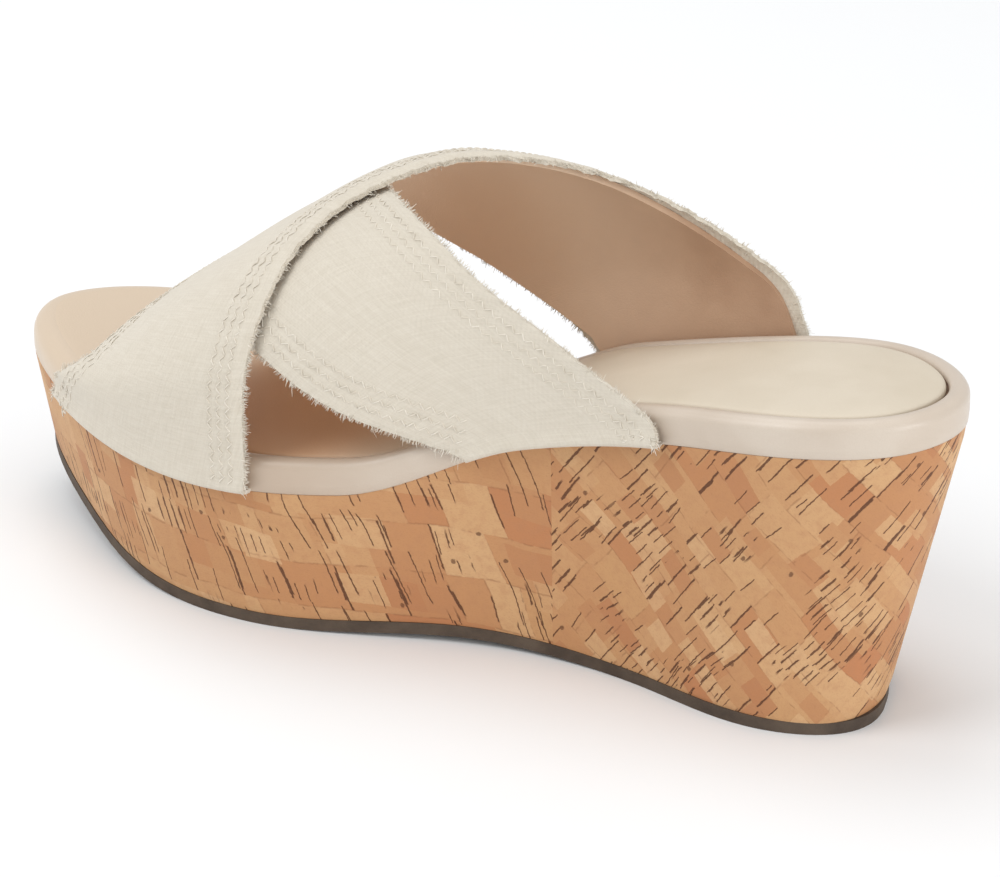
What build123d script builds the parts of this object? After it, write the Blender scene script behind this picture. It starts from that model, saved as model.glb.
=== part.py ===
from build123d import *
import math
import os

os.makedirs("parts", exist_ok=True)

# Left wedge sandal with two crossed straps. Sizes in mm.
# +X points to the toe, +Y to the wearer's left (the outer side), +Z up, and the floor is Z = 0.

# ---- outlines seen from above ----
# Upper edge of the cork all round, which is also the wall of the footbed's rand.
RIM_OUTLINE = [
    (-125.2, -3.3), (-120.3, 14.5), (-99.9, 24.5), (-63.7, 22.7), (-19.4, 27.8), (24.2, 44.3),
    (58.3, 42.1), (94.5, 25.6), (125.0, -5.9), (106.0, -35.4), (69.5, -44.6), (25.0, -40.0),
    (-20.0, -32.1), (-64.2, -31.9), (-98.6, -32.2), (-116.2, -20.9),
]
# Lower edge of the cork, which is also the outsole's edge. The points pair up with the rim's.
SOLE_OUTLINE = [
    (-112.8, -1.6), (-110.2, 14.5), (-94.4, 22.5), (-62.9, 19.2), (-18.5, 23.9), (25.0, 40.8),
    (58.2, 38.8), (92.0, 22.2), (121.2, -6.5), (104.3, -33.7), (69.7, -41.7), (25.1, -37.0),
    (-19.8, -29.0), (-63.7, -28.5), (-92.6, -28.3), (-104.8, -18.3),
]

# ---- side view ----
# Height of the cork's upper edge from heel to toe.
RIM_PROFILE = [
    (-142, 69.0), (-125, 67.5), (-80, 62.3), (-35, 52.2), (5, 36.0), (45, 34.1), (85, 35.4),
    (125, 39.4), (142, 41.2),
]
HEEL_FLAT_END = -63      # the heel stands flat on the floor up to here
SHANK_RISE = 1.6         # lift of the sole between heel and ball
BALL_START = 25
BALL_END = 40            # the toe springs up from here
TOE_SPRING_RADIUS = 218

# ---- layers ----
OUTSOLE = 2.8
CORK_SKIN = 1.2
CORK_SEAM_X = -42        # joint between the heel's cork sheet and the front's
CORK_SEAM_GAP = 0.3
MARGIN_LAYER = 1.2       # space under the insole board for the straps' lasted margins
BOARD = 2.0
FOAM = 3.4
SOCK = 1.3
RAND_HEIGHT = 7.8
RAND_WIDTH = 4.3
RAND_ROUND = 2.6
GROOVE = 0.7             # stitched-down channel between rand and sock
FIT_GAP = 0.05

# ---- shank and its rivets ----
SHANK_START = -88
SHANK_END = 14
SHANK_WIDTH = 12
SHANK_Y = -5
RIVET_INSET = 9
RIVET_RADIUS = 2.4

# ---- tread ----
TREAD_PITCH = 6.5
TREAD_SLOT = 2.2
TREAD_DEPTH = 1.1
TREAD_BORDER = 7
TREAD_FIELDS = [(-98, 6), (16, 14)]    # first slot's x and number of slots, heel then forefoot

# ---- straps ----
RIDGE_Y = -6.4           # line over which both straps arch
AXIS_Z = 40              # height of the axis that strap angles are measured about
ARCH_POWER = 2.4         # 2 is an ellipse, more is squarer
ARCH_BASE = 4            # the arch starts this far above the cork's edge
# Height of the arch's ridge from heel to toe.
RIDGE_PROFILE = [
    (-85, 95), (-45, 99), (-20, 100), (0, 98.8), (15, 94.8), (35, 83), (55, 69), (75, 55.5),
    (91, 48.3), (107, 45),
]
STATIONS = [-85, -65, -45, -25, -8, 8, 22, 38, 54, 72, 90, 107]
LINING = (0.1, 1.0)      # distances outwards from the foot's side of the lower strap
INTERLINING = (1.0, 1.7)
CANVAS = (1.7, 2.8)
OVERLAP_LIFT = 3.3       # the upper strap clears the lower one by this
LINING_SETBACK = 2.6     # the raw canvas edge stands past the lining by this
INTERLINING_SETBACK = 3.2
MARGIN_TURN = 12         # the canvas turns in under the board by this
MARGIN = 1.1
MARGIN_OUT = 2.2         # it starts inside the canvas wall, this far out from the rand

# Strap edges as (angle, x): 0 degrees is level on the outer side, 90 is up, 180 is the inner side.
UPPER_HEEL_EDGE = [(-14, 24), (30, 24), (50, 23.5), (62, 21), (75, 15), (90, 2), (105, -32),
                   (120, -57.5), (132, -71), (145, -76), (194, -77)]
UPPER_TOE_EDGE = [(-14, 97), (0, 95), (10, 88), (20, 80), (35, 75.5), (60, 71), (90, 65),
                  (105, 60.5), (120, 51), (130, 40), (140, 26), (150, -14), (158, -21), (194, -23)]
LOWER_HEEL_EDGE = [(-14, -72), (36, -68.5), (50, -45.5), (60, -19), (75, 9), (90, 23),
                   (105, 32), (122, 35), (150, 29), (194, 26)]
LOWER_TOE_EDGE = [(-14, -28), (12, -26), (20, 3), (30, 24), (40, 45), (52, 56), (75, 61.5),
                  (105, 64.5), (130, 69.5), (150, 76.5), (170, 86), (180, 94), (194, 97)]
FAN_ANGLES = [-12, -4, 4, 12, 20, 28, 36, 45, 54, 64, 76, 90, 104, 116, 126, 134, 142, 150,
              158, 166, 176, 190]
FAN_INNER = 5
FAN_OUTER = 110
# Where each strap end is tucked under the board: (first x, last x, side).
UPPER_FEET = [(25.5, 93, 1), (-71, -24.5, -1)]
LOWER_FEET = [(-66, -29, 1), (27, 92.5, -1)]

REACH = 160              # longer than the sandal in every direction
LOFT_TOP = 80            # above the cork's highest edge
SECTION_FLOOR = 10       # below the cork's lowest edge
LIFT_EASE = 24           # the upper strap leaves the rand over this many degrees


def smooth_between(points, position):
    """Value at position on a curve through (position, value) points that never overshoots."""
    slopes = []
    for (p0, v0), (p1, v1) in zip(points, points[1:]):
        slopes.append((v1 - v0) / (p1 - p0))
    for i, slope in enumerate(slopes):
        start, value = points[i]
        end, next_value = points[i + 1]
        if position <= end or i == len(slopes) - 1:
            before = slopes[i - 1] if i > 0 else slope
            after = slopes[i + 1] if i + 1 < len(slopes) else slope
            slope_in = 2 * before * slope / (before + slope) if before * slope > 0 else 0
            slope_out = 2 * after * slope / (after + slope) if after * slope > 0 else 0
            span = end - start
            t = (position - start) / span
            return (
                value * (1 + 2 * t) * (1 - t) ** 2
                + next_value * t * t * (3 - 2 * t)
                + span * slope_in * t * (1 - t) ** 2
                - span * slope_out * t * t * (1 - t)
            )


def rim_height(x):
    return smooth_between(RIM_PROFILE, x)


def sole_height(x):
    if x > BALL_END:
        return TOE_SPRING_RADIUS - math.sqrt(TOE_SPRING_RADIUS ** 2 - (x - BALL_END) ** 2)
    if HEEL_FLAT_END < x < BALL_START:
        part_way = (x - HEEL_FLAT_END) / (BALL_START - HEEL_FLAT_END)
        return SHANK_RISE * math.sin(math.pi * part_way) ** 2
    return 0


def sole_slope(x):
    return math.degrees(math.atan2(sole_height(x + 1) - sole_height(x - 1), 2))


def trace(points):
    """Closely spaced points along the closed curve through the given ones."""
    steps = 720
    curve = Edge.make_spline([Vector(a, b) for a, b in points], periodic=True)
    return [curve.position_at(i / steps) for i in range(steps + 1)]


RIM_TRACE = trace(RIM_OUTLINE)
SOLE_TRACE = trace(SOLE_OUTLINE)


def crossing_y(traced, x, side):
    """Y where a traced outline crosses x, on the outer (1) or inner (-1) side."""
    crossings = []
    for a, b in zip(traced, traced[1:]):
        if (a.X - x) * (b.X - x) <= 0 and a.X != b.X:
            crossings.append(a.Y + (b.Y - a.Y) * (x - a.X) / (b.X - a.X))
    return max(crossings) if side > 0 else min(crossings)


def inset_points(points, distance):
    """The points of a clockwise outline moved inwards by distance."""
    moved = []
    for i, (x, y) in enumerate(points):
        before = points[i - 1]
        after = points[(i + 1) % len(points)]
        along_x = after[0] - before[0]
        along_y = after[1] - before[1]
        length = math.hypot(along_x, along_y)
        moved.append((x + distance * along_y / length, y - distance * along_x / length))
    return moved


def outline_sketch(points, height, inset=0.0):
    with BuildSketch(Plane.XY.offset(height)) as sketch:
        with BuildLine():
            Spline(*inset_points(points, inset), periodic=True)
        make_face()
    return sketch.sketch


def rim_line(lift):
    """The cork's upper edge in side view, raised by lift."""
    return Spline(*[(x, rim_height(x) + lift) for x in range(-140, 141, 10)])


def rim_band(low, high):
    """Side-view region between two lines parallel to the cork's upper edge."""
    with BuildSketch(Plane.XZ) as sketch:
        with BuildLine():
            lower = rim_line(low)
            upper = rim_line(high)
            Line(lower @ 0, upper @ 0)
            Line(lower @ 1, upper @ 1)
        make_face()
    return sketch.sketch


def sole_line(lift):
    """The underside in side view, raised by lift, as a chain of edges."""
    mid_x = (HEEL_FLAT_END + BALL_START) / 2
    arc_mid = (BALL_END + 140) / 2
    Line((-140, lift), (HEEL_FLAT_END, lift))
    Spline(
        (HEEL_FLAT_END, lift), (mid_x, SHANK_RISE + lift), (BALL_START, lift),
        tangents=((1, 0), (1, 0)),
    )
    Line((BALL_START, lift), (BALL_END, lift))
    ThreePointArc(
        (BALL_END, lift), (arc_mid, sole_height(arc_mid) + lift), (140, sole_height(140) + lift)
    )


def sole_band():
    """Side-view region of the outsole."""
    with BuildSketch(Plane.XZ) as sketch:
        with BuildLine():
            sole_line(0)
            sole_line(OUTSOLE)
            Line((-140, 0), (-140, OUTSOLE))
            Line((140, sole_height(140)), (140, sole_height(140) + OUTSOLE))
        make_face()
    return sketch.sketch


def wedge_band():
    """Side-view region between the outsole and the footbed."""
    with BuildSketch(Plane.XZ) as sketch:
        with BuildLine():
            sole_line(OUTSOLE)
            upper = rim_line(0)
            Line((-140, OUTSOLE), upper @ 0)
            Line(upper @ 1, (140, sole_height(140) + OUTSOLE))
        make_face()
    return sketch.sketch


def keep_band(band):
    """Trim the part being built to a side-view region."""
    extrude(band, amount=REACH, both=True, mode=Mode.INTERSECT)


def wedge_solid(inset):
    """The wedge between outsole and footbed, with its walls moved in by inset."""
    floor_points = []
    ceiling_points = []
    pairs = zip(inset_points(SOLE_OUTLINE, inset), inset_points(RIM_OUTLINE, inset))
    for (sx, sy), (rx, ry) in pairs:
        low = sole_height(sx) + OUTSOLE
        high = rim_height(rx)
        lean_x = (rx - sx) / (high - low)
        lean_y = (ry - sy) / (high - low)
        floor_points.append((sx - lean_x * low, sy - lean_y * low))
        ceiling_points.append((sx + lean_x * (LOFT_TOP - low), sy + lean_y * (LOFT_TOP - low)))
    walls = [outline_sketch(floor_points, 0), outline_sketch(ceiling_points, LOFT_TOP)]
    loft(walls, ruled=True)
    keep_band(wedge_band())


def arch_section(x, grow, lift):
    """Face across the sandal at x, under an arch grown outwards by grow and lifted off the rand."""
    outer_y = crossing_y(RIM_TRACE, x, 1)
    inner_y = crossing_y(RIM_TRACE, x, -1)
    base = rim_height(x) + ARCH_BASE
    ridge = smooth_between(RIDGE_PROFILE, x)
    slope = smooth_between(RIDGE_PROFILE, x + 1) - smooth_between(RIDGE_PROFILE, x - 1)
    thicken = math.sqrt(1 + slope * slope / 4)
    power = 2 / ARCH_POWER
    points = []
    for degrees in range(0, 181, 12):
        angle = math.radians(degrees)
        ease = min(min(degrees, 180 - degrees) / LIFT_EASE, 1)
        away = grow + lift * ease * ease * (3 - 2 * ease)
        outwards = 1 if degrees <= 90 else -1
        side_y = outer_y if degrees <= 90 else inner_y
        reach_y = abs(side_y - RIDGE_Y) + away
        reach_z = ridge - base + away * thicken
        y = RIDGE_Y + outwards * reach_y * abs(math.cos(angle)) ** power
        z = base + reach_z * max(math.sin(angle), 0) ** power
        points.append((y, z))
    left = (points[0][0], SECTION_FLOOR)
    right = (points[-1][0], SECTION_FLOOR)
    with BuildSketch(Plane(origin=(x, 0, 0), x_dir=(0, 1, 0), z_dir=(1, 0, 0))) as sketch:
        with BuildLine():
            Line(left, points[0])
            Spline(*points)
            Line(points[-1], right)
            Line(right, left)
        make_face()
    return sketch.sketch


def arch_shell(depths, lift):
    """Shell between two depths outwards from the foot's side."""
    inner, outer = depths
    loft([arch_section(x, outer, lift) for x in STATIONS])
    loft([arch_section(x, inner, lift) for x in STATIONS], mode=Mode.SUBTRACT)


def fan(heel_edge, toe_edge, heel_inset, toe_inset):
    """Rectangles on planes around the strap's axis, from one strap edge to the other."""
    sections = []
    for degrees in FAN_ANGLES:
        angle = math.radians(degrees)
        heel_x = smooth_between(heel_edge, degrees) + heel_inset
        toe_x = smooth_between(toe_edge, degrees) - toe_inset
        upright = (0, -math.sin(angle), math.cos(angle))
        with BuildSketch(Plane(origin=(0, RIDGE_Y, AXIS_Z), x_dir=(1, 0, 0), z_dir=upright)) as cut:
            with Locations(((heel_x + toe_x) / 2, (FAN_INNER + FAN_OUTER) / 2)):
                Rectangle(toe_x - heel_x, FAN_OUTER - FAN_INNER)
        sections.append(cut.sketch)
    return sections


def lasted_margin(foot, gap=0.0):
    """Turned-in end of a strap, lying on the cork's edge under the board, or the room for it."""
    first_x, last_x, side = foot
    with BuildPart() as margin:
        extrude(outline_sketch(RIM_OUTLINE, 0, -MARGIN_OUT - gap), amount=REACH)
        extrude(outline_sketch(RIM_OUTLINE, 0, MARGIN_TURN + gap), amount=REACH, mode=Mode.SUBTRACT)
        keep_band(rim_band(-20 * gap, MARGIN + gap))
        with Locations(((first_x + last_x) / 2, RIDGE_Y + side * REACH / 2, 0)):
            Box(last_x - first_x + 2 * gap, REACH, 2 * REACH, mode=Mode.INTERSECT)
    return margin.part


def strap_layer(depths, lift, edges, setback, low):
    """One layer of a strap, from low above the cork's edge on one side to the same on the other."""
    arch_shell(depths, lift)
    loft(fan(edges[0], edges[1], setback, setback), mode=Mode.INTERSECT)
    keep_band(rim_band(low, REACH))


# ---- outsole with tread slots ----
with BuildPart() as outsole:
    extrude(outline_sketch(SOLE_OUTLINE, -1), amount=40)
    keep_band(sole_band())
    for start, count in TREAD_FIELDS:
        for i in range(count):
            x = start + i * TREAD_PITCH
            high_y = crossing_y(SOLE_TRACE, x, 1) - TREAD_BORDER
            low_y = crossing_y(SOLE_TRACE, x, -1) + TREAD_BORDER
            with Locations(Pos(x, (high_y + low_y) / 2, sole_height(x)) * Rot(0, -sole_slope(x), 0)):
                Box(TREAD_SLOT, high_y - low_y, 2 * TREAD_DEPTH, mode=Mode.SUBTRACT)

# ---- wedge: moulded core inside a sheet of cork ----
with BuildPart() as wedge_core:
    wedge_solid(CORK_SKIN)

with BuildPart() as cork_skin:
    wedge_solid(0)
    add(wedge_core.part, mode=Mode.SUBTRACT)

with BuildPart() as cork_heel:
    add(cork_skin.part)
    with Locations((CORK_SEAM_X - CORK_SEAM_GAP / 2 - REACH / 2, 0, 0)):
        Box(REACH, 2 * REACH, 2 * REACH, mode=Mode.INTERSECT)

with BuildPart() as cork_front:
    add(cork_skin.part)
    with Locations((CORK_SEAM_X + CORK_SEAM_GAP / 2 + REACH, 0, 0)):
        Box(2 * REACH, 2 * REACH, 2 * REACH, mode=Mode.INTERSECT)

# ---- straps: canvas outside, stiffener between, lining against the foot ----
upper_edges = (UPPER_HEEL_EDGE, UPPER_TOE_EDGE)
lower_edges = (LOWER_HEEL_EDGE, LOWER_TOE_EDGE)

with BuildPart() as upper_canvas:
    strap_layer(CANVAS, OVERLAP_LIFT, upper_edges, 0, 0)
    for foot in UPPER_FEET:
        add(lasted_margin(foot))

with BuildPart() as lower_canvas:
    strap_layer(CANVAS, 0, lower_edges, 0, 0)
    for foot in LOWER_FEET:
        add(lasted_margin(foot))

with BuildPart() as upper_interlining:
    strap_layer(INTERLINING, OVERLAP_LIFT, upper_edges, INTERLINING_SETBACK, MARGIN_LAYER)

with BuildPart() as lower_interlining:
    strap_layer(INTERLINING, 0, lower_edges, INTERLINING_SETBACK, MARGIN_LAYER)

with BuildPart() as upper_lining:
    strap_layer(LINING, OVERLAP_LIFT, upper_edges, LINING_SETBACK, MARGIN_LAYER)

with BuildPart() as lower_lining:
    strap_layer(LINING, 0, lower_edges, LINING_SETBACK, MARGIN_LAYER)

# ---- footbed ----
with BuildPart() as footbed_rand:
    extrude(outline_sketch(RIM_OUTLINE, 0), amount=REACH)
    keep_band(rim_band(0, RAND_HEIGHT))
    top_face = footbed_rand.faces().sort_by(Axis.Z)[-1]
    fillet(top_face.edges(), RAND_ROUND)
    extrude(outline_sketch(RIM_OUTLINE, 0, RAND_WIDTH), amount=REACH, mode=Mode.SUBTRACT)
    for foot in UPPER_FEET + LOWER_FEET:
        add(lasted_margin(foot, FIT_GAP), mode=Mode.SUBTRACT)

with BuildPart() as shank_rivets:
    for x in (SHANK_START + RIVET_INSET, SHANK_END - RIVET_INSET):
        with Locations((x, SHANK_Y, REACH / 2)):
            Cylinder(RIVET_RADIUS, REACH)
    keep_band(rim_band(0, MARGIN_LAYER + BOARD))

with BuildPart() as steel_shank:
    with BuildSketch() as strip:
        with Locations(((SHANK_START + SHANK_END) / 2, SHANK_Y)):
            SlotOverall(SHANK_END - SHANK_START, SHANK_WIDTH)
    extrude(amount=REACH)
    keep_band(rim_band(0, MARGIN_LAYER))
    add(shank_rivets.part, mode=Mode.SUBTRACT)

with BuildPart() as bottom_filler:
    extrude(outline_sketch(RIM_OUTLINE, 0, RAND_WIDTH + FIT_GAP), amount=REACH)
    keep_band(rim_band(0, MARGIN_LAYER))
    for foot in UPPER_FEET + LOWER_FEET:
        add(lasted_margin(foot, FIT_GAP), mode=Mode.SUBTRACT)
    add(steel_shank.part, mode=Mode.SUBTRACT)
    add(shank_rivets.part, mode=Mode.SUBTRACT)

with BuildPart() as insole_board:
    extrude(outline_sketch(RIM_OUTLINE, 0, RAND_WIDTH + FIT_GAP), amount=REACH)
    keep_band(rim_band(MARGIN_LAYER, MARGIN_LAYER + BOARD))
    add(shank_rivets.part, mode=Mode.SUBTRACT)

foam_low = MARGIN_LAYER + BOARD
with BuildPart() as footbed_foam:
    extrude(outline_sketch(RIM_OUTLINE, 0, RAND_WIDTH + FIT_GAP), amount=REACH)
    keep_band(rim_band(foam_low, foam_low + FOAM))

with BuildPart() as sock_lining:
    extrude(outline_sketch(RIM_OUTLINE, 0, RAND_WIDTH + GROOVE), amount=REACH)
    keep_band(rim_band(foam_low + FOAM, foam_low + FOAM + SOCK))

# ---- labels and files ----
outsole.part.label = "outsole"
export_step(outsole.part, "parts/outsole.step")
wedge_core.part.label = "wedge_core"
export_step(wedge_core.part, "parts/wedge_core.step")
cork_heel.part.label = "cork_heel"
export_step(cork_heel.part, "parts/cork_heel.step")
cork_front.part.label = "cork_front"
export_step(cork_front.part, "parts/cork_front.step")
bottom_filler.part.label = "bottom_filler"
export_step(bottom_filler.part, "parts/bottom_filler.step")
steel_shank.part.label = "steel_shank"
export_step(steel_shank.part, "parts/steel_shank.step")
shank_rivets.part.label = "shank_rivets"
export_step(shank_rivets.part, "parts/shank_rivets.step")
insole_board.part.label = "insole_board"
export_step(insole_board.part, "parts/insole_board.step")
footbed_foam.part.label = "footbed_foam"
export_step(footbed_foam.part, "parts/footbed_foam.step")
sock_lining.part.label = "sock_lining"
export_step(sock_lining.part, "parts/sock_lining.step")
footbed_rand.part.label = "footbed_rand"
export_step(footbed_rand.part, "parts/footbed_rand.step")
upper_canvas.part.label = "upper_canvas"
export_step(upper_canvas.part, "parts/upper_canvas.step")
upper_interlining.part.label = "upper_interlining"
export_step(upper_interlining.part, "parts/upper_interlining.step")
upper_lining.part.label = "upper_lining"
export_step(upper_lining.part, "parts/upper_lining.step")
lower_canvas.part.label = "lower_canvas"
export_step(lower_canvas.part, "parts/lower_canvas.step")
lower_interlining.part.label = "lower_interlining"
export_step(lower_interlining.part, "parts/lower_interlining.step")
lower_lining.part.label = "lower_lining"
export_step(lower_lining.part, "parts/lower_lining.step")
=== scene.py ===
import math
import random

import bpy
import numpy as np
from mathutils import Matrix, Vector
from mathutils.geometry import delaunay_2d_cdt


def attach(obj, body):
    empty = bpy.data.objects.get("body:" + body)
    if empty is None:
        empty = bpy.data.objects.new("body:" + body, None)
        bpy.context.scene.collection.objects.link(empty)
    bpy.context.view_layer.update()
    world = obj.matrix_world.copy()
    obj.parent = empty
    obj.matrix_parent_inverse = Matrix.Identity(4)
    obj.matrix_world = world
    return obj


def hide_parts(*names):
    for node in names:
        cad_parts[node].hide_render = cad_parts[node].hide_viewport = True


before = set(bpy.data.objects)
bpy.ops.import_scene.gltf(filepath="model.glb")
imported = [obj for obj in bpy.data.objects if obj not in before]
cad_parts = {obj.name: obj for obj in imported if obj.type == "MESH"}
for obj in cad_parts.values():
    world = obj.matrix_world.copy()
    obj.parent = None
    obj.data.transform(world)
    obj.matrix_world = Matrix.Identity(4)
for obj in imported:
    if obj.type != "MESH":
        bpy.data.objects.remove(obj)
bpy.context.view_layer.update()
random.seed(11)
MM = 0.001

# ---------------------------------------------------------------- the sandal's outlines, in mm
RIM_OUTLINE = [
    (-125.2, -3.3), (-120.3, 14.5), (-99.9, 24.5), (-63.7, 22.7), (-19.4, 27.8), (24.2, 44.3),
    (58.3, 42.1), (94.5, 25.6), (125.0, -5.9), (106.0, -35.4), (69.5, -44.6), (25.0, -40.0),
    (-20.0, -32.1), (-64.2, -31.9), (-98.6, -32.2), (-116.2, -20.9),
]
SOLE_OUTLINE = [
    (-112.8, -1.6), (-110.2, 14.5), (-94.4, 22.5), (-62.9, 19.2), (-18.5, 23.9), (25.0, 40.8),
    (58.2, 38.8), (92.0, 22.2), (121.2, -6.5), (104.3, -33.7), (69.7, -41.7), (25.1, -37.0),
    (-19.8, -29.0), (-63.7, -28.5), (-92.6, -28.3), (-104.8, -18.3),
]
RIM_PROFILE = [
    (-142, 69.0), (-125, 67.5), (-80, 62.3), (-35, 52.2), (5, 36.0), (45, 34.1), (85, 35.4),
    (125, 39.4), (142, 41.2),
]
RIDGE_PROFILE = [
    (-85, 95), (-45, 99), (-20, 100), (0, 98.8), (15, 94.8), (35, 83), (55, 69), (75, 55.5),
    (91, 48.3), (107, 45),
]
UPPER_HEEL_EDGE = [(-14, 24), (30, 24), (50, 23.5), (62, 21), (75, 15), (90, 2), (105, -32),
                   (120, -57.5), (132, -71), (145, -76), (194, -77)]
UPPER_TOE_EDGE = [(-14, 97), (0, 95), (10, 88), (20, 80), (35, 75.5), (60, 71), (90, 65),
                  (105, 60.5), (120, 51), (130, 40), (140, 26), (150, -14), (158, -21), (194, -23)]
LOWER_HEEL_EDGE = [(-14, -72), (36, -68.5), (50, -45.5), (60, -19), (75, 9), (90, 23),
                   (105, 32), (122, 35), (150, 29), (194, 26)]
LOWER_TOE_EDGE = [(-14, -28), (12, -26), (20, 3), (30, 24), (40, 45), (52, 56), (75, 61.5),
                  (105, 64.5), (130, 69.5), (150, 76.5), (170, 86), (180, 94), (194, 97)]
RIDGE_Y, AXIS_Z = -6.4, 40.0
ARCH_POWER, ARCH_BASE, LIFT_EASE = 2.4, 4.0, 24.0
OUTSOLE, RAND_HEIGHT, RAND_WIDTH = 2.8, 7.8, 4.3
OVERLAP_LIFT = 3.3
CORK_SEAM_X = -42.0
HEEL_FLAT_END, BALL_START, BALL_END = -63, 25, 40
SHANK_RISE, TOE_SPRING_RADIUS = 1.6, 218


def smooth_between(points, position):
    """The same non-overshooting curve that the CAD part is cut to."""
    slopes = [(b[1] - a[1]) / (b[0] - a[0]) for a, b in zip(points, points[1:])]
    for i, slope in enumerate(slopes):
        start, value = points[i]
        end, next_value = points[i + 1]
        if position <= end or i == len(slopes) - 1:
            before = slopes[i - 1] if i > 0 else slope
            after = slopes[i + 1] if i + 1 < len(slopes) else slope
            slope_in = 2 * before * slope / (before + slope) if before * slope > 0 else 0
            slope_out = 2 * after * slope / (after + slope) if after * slope > 0 else 0
            span = end - start
            t = (position - start) / span
            return (value * (1 + 2 * t) * (1 - t) ** 2 + next_value * t * t * (3 - 2 * t)
                    + span * slope_in * t * (1 - t) ** 2 - span * slope_out * t * t * (1 - t))


def tabulate(points, low, high, step):
    """A fast lookup of smooth_between over a range."""
    at = np.arange(low, high + step, step)
    values = np.array([smooth_between(points, p) for p in at])
    return lambda p: np.interp(p, at, values)


rim_height = tabulate(RIM_PROFILE, -141, 141, 0.5)
ridge_height = tabulate(RIDGE_PROFILE, -90, 112, 0.5)


def closed_curve(points, per_gap):
    """Points on a closed cubic through the given points, with per_gap of them in each gap."""
    p = np.array(points, float)
    n = len(p)
    gap = np.linalg.norm(np.roll(p, -1, 0) - p, axis=1)
    knots = np.concatenate([[0], np.cumsum(gap)])
    a = np.zeros((n, n))
    rhs = np.zeros((n, 2))
    for i in range(n):
        h0, h1 = gap[i - 1], gap[i]
        a[i, i - 1] += h0
        a[i, i] += 2 * (h0 + h1)
        a[i, (i + 1) % n] += h1
        rhs[i] = 6 * ((p[(i + 1) % n] - p[i]) / h1 - (p[i] - p[i - 1]) / h0)
    m = np.linalg.solve(a, rhs)
    k = np.repeat(np.arange(n), per_gap)
    t = knots[k] + gap[k] * np.tile(np.arange(per_gap) / per_gap, n)
    j = (k + 1) % n
    h = gap[k][:, None]
    u = (t - knots[k])[:, None]
    v = h - u
    out = (m[k] * v ** 3 / (6 * h) + m[j] * u ** 3 / (6 * h)
           + (p[k] / h - m[k] * h / 6) * v + (p[j] / h - m[j] * h / 6) * u)
    return out


def outward(loop):
    """Unit normals pointing out of a clockwise loop."""
    d = np.roll(loop, -1, 0) - np.roll(loop, 1, 0)
    d /= np.linalg.norm(d, axis=1)[:, None]
    return np.stack([-d[:, 1], d[:, 0]], -1)


PER_GAP = 60
RIM = closed_curve(RIM_OUTLINE, PER_GAP)
SOLE = closed_curve(SOLE_OUTLINE, PER_GAP)
OUTER_SIDE = RIM[(RIM[:, 1] > RIDGE_Y) & (RIM[:, 0] > -120) & (RIM[:, 0] < 122)]
INNER_SIDE = RIM[(RIM[:, 1] <= RIDGE_Y) & (RIM[:, 0] > -120) & (RIM[:, 0] < 122)]
OUTER_SIDE = OUTER_SIDE[np.argsort(OUTER_SIDE[:, 0])]
INNER_SIDE = INNER_SIDE[np.argsort(INNER_SIDE[:, 0])]


def sole_height(x):
    """The underside: flat heel, a slight rise under the arch of the foot, and toe spring."""
    up = np.maximum(x - BALL_END, 0)
    toe = TOE_SPRING_RADIUS - np.sqrt(TOE_SPRING_RADIUS ** 2 - up ** 2)
    part_way = np.clip((x - HEEL_FLAT_END) / (BALL_START - HEEL_FLAT_END), 0, 1)
    return toe + SHANK_RISE * np.sin(math.pi * part_way) ** 2


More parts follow.
